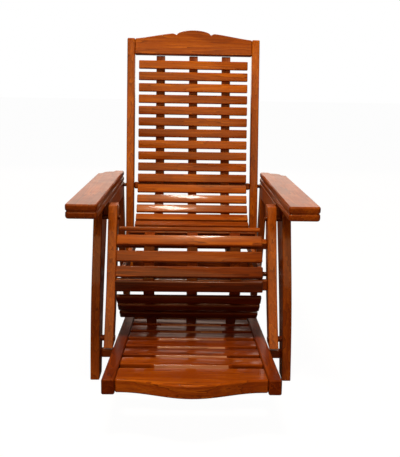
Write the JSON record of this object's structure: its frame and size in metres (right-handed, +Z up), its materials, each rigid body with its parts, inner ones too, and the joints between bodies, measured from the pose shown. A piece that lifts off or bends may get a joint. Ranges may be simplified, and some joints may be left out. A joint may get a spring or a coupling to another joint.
{
  "type": "reclining slatted chair",
  "caption": "Slatted wooden reclining chair with broad arms, a high back, a linked seat and leg frame, and a pull-out footrest.",
  "frame": {"origin": "on the floor, under the middle of the chair's bounding box at rest, footrest out", "axes": "+Z up; -Y points out of the front, where the footrest is; +X runs across the chair from its right arm to its left arm"},
  "size_m": [0.707, 1.1118, 1.0952],
  "materials": {
    "frame": "gloss varnished teak",
    "slat": "gloss varnished teak",
    "batten": "varnished teak, darker",
    "pin": "varnished hardwood dowel"
  },
  "bodies": {
    "side_frames": {"apron_l": "frame", "apron_r": "frame", "arm_l": "frame", "arm_r": "frame", "front_leg_l": "frame", "front_leg_r": "frame", "front_stretcher": "frame", "leg_pin_l": "pin", "leg_pin_r": "pin", "rear_leg_l": "frame", "rear_leg_r": "frame", "rear_stretcher": "frame", "recline_pin_l": "pin", "recline_pin_r": "pin"},
    "back_frame": {"back_panel": "slat", "back_rail_low": "batten", "back_rail_mid": "batten", "back_stile_l": "frame", "back_stile_r": "frame", "crest_rail": "frame", "link_rear_pin_l": "pin", "link_rear_pin_r": "pin"},
    "leg_frame": {"calf_rail": "batten", "calf_slat_1": "slat", "calf_slat_2": "slat", "calf_slat_3": "slat", "calf_slat_4": "slat", "calf_slat_5": "slat", "calf_slat_6": "slat", "calf_slat_7": "slat", "calf_slat_8": "slat", "foot_pin_l": "pin", "foot_pin_r": "pin", "inner_leg_l": "frame", "inner_leg_r": "frame", "knee_rail": "batten", "link_front_pin_l": "pin", "link_front_pin_r": "pin", "seat_batten_c": "batten", "seat_batten_l": "batten", "seat_batten_r": "batten", "seat_slat_1": "slat", "seat_slat_2": "slat", "seat_slat_3": "slat", "seat_slat_4": "slat", "seat_slat_5": "slat"},
    "link_l": {"link_rail_l": "frame"},
    "link_r": {"link_rail_r": "frame"},
    "footrest": {"foot_board": "frame", "foot_rail_l": "frame", "foot_rail_r": "frame", "foot_slat_1": "slat", "foot_slat_2": "slat", "foot_slat_3": "slat", "foot_slat_4": "slat", "foot_slat_5": "slat", "foot_slat_6": "slat", "foot_slat_7": "slat"}
  },
  "joints": [
    {"name": "recline", "type": "hinge", "parent": "side_frames", "child": "back_frame", "pos_m": [0, 0.357, 0.516], "axis": [-1, 0, 0], "range_deg": [0, 12]},
    {"name": "leg_lift", "type": "hinge", "parent": "side_frames", "child": "leg_frame", "pos_m": [0, -0.07, 0.482], "axis": [-1, 0, 0], "range_deg": [0, 15]},
    {"name": "link_l_pivot", "type": "hinge", "parent": "leg_frame", "child": "link_l", "pos_m": [0, -0.117, 0.3142], "axis": [-1, 0, 0], "range_deg": [-14.5, 0]},
    {"name": "link_r_pivot", "type": "hinge", "parent": "leg_frame", "child": "link_r", "pos_m": [0, -0.117, 0.3142], "axis": [-1, 0, 0], "range_deg": [-14.5, 0]},
    {"name": "footrest_slide", "type": "slide", "parent": "leg_frame", "child": "footrest", "axis": [0, 0.9948, -0.1021], "range_m": [0, 0.09]}
  ],
  "couplings": [
    {"joint": "leg_lift", "follows": "recline", "ratio": 1.2467},
    {"joint": "link_l_pivot", "follows": "recline", "ratio": -1.2019},
    {"joint": "link_r_pivot", "follows": "recline", "ratio": -1.2019}
  ]
}
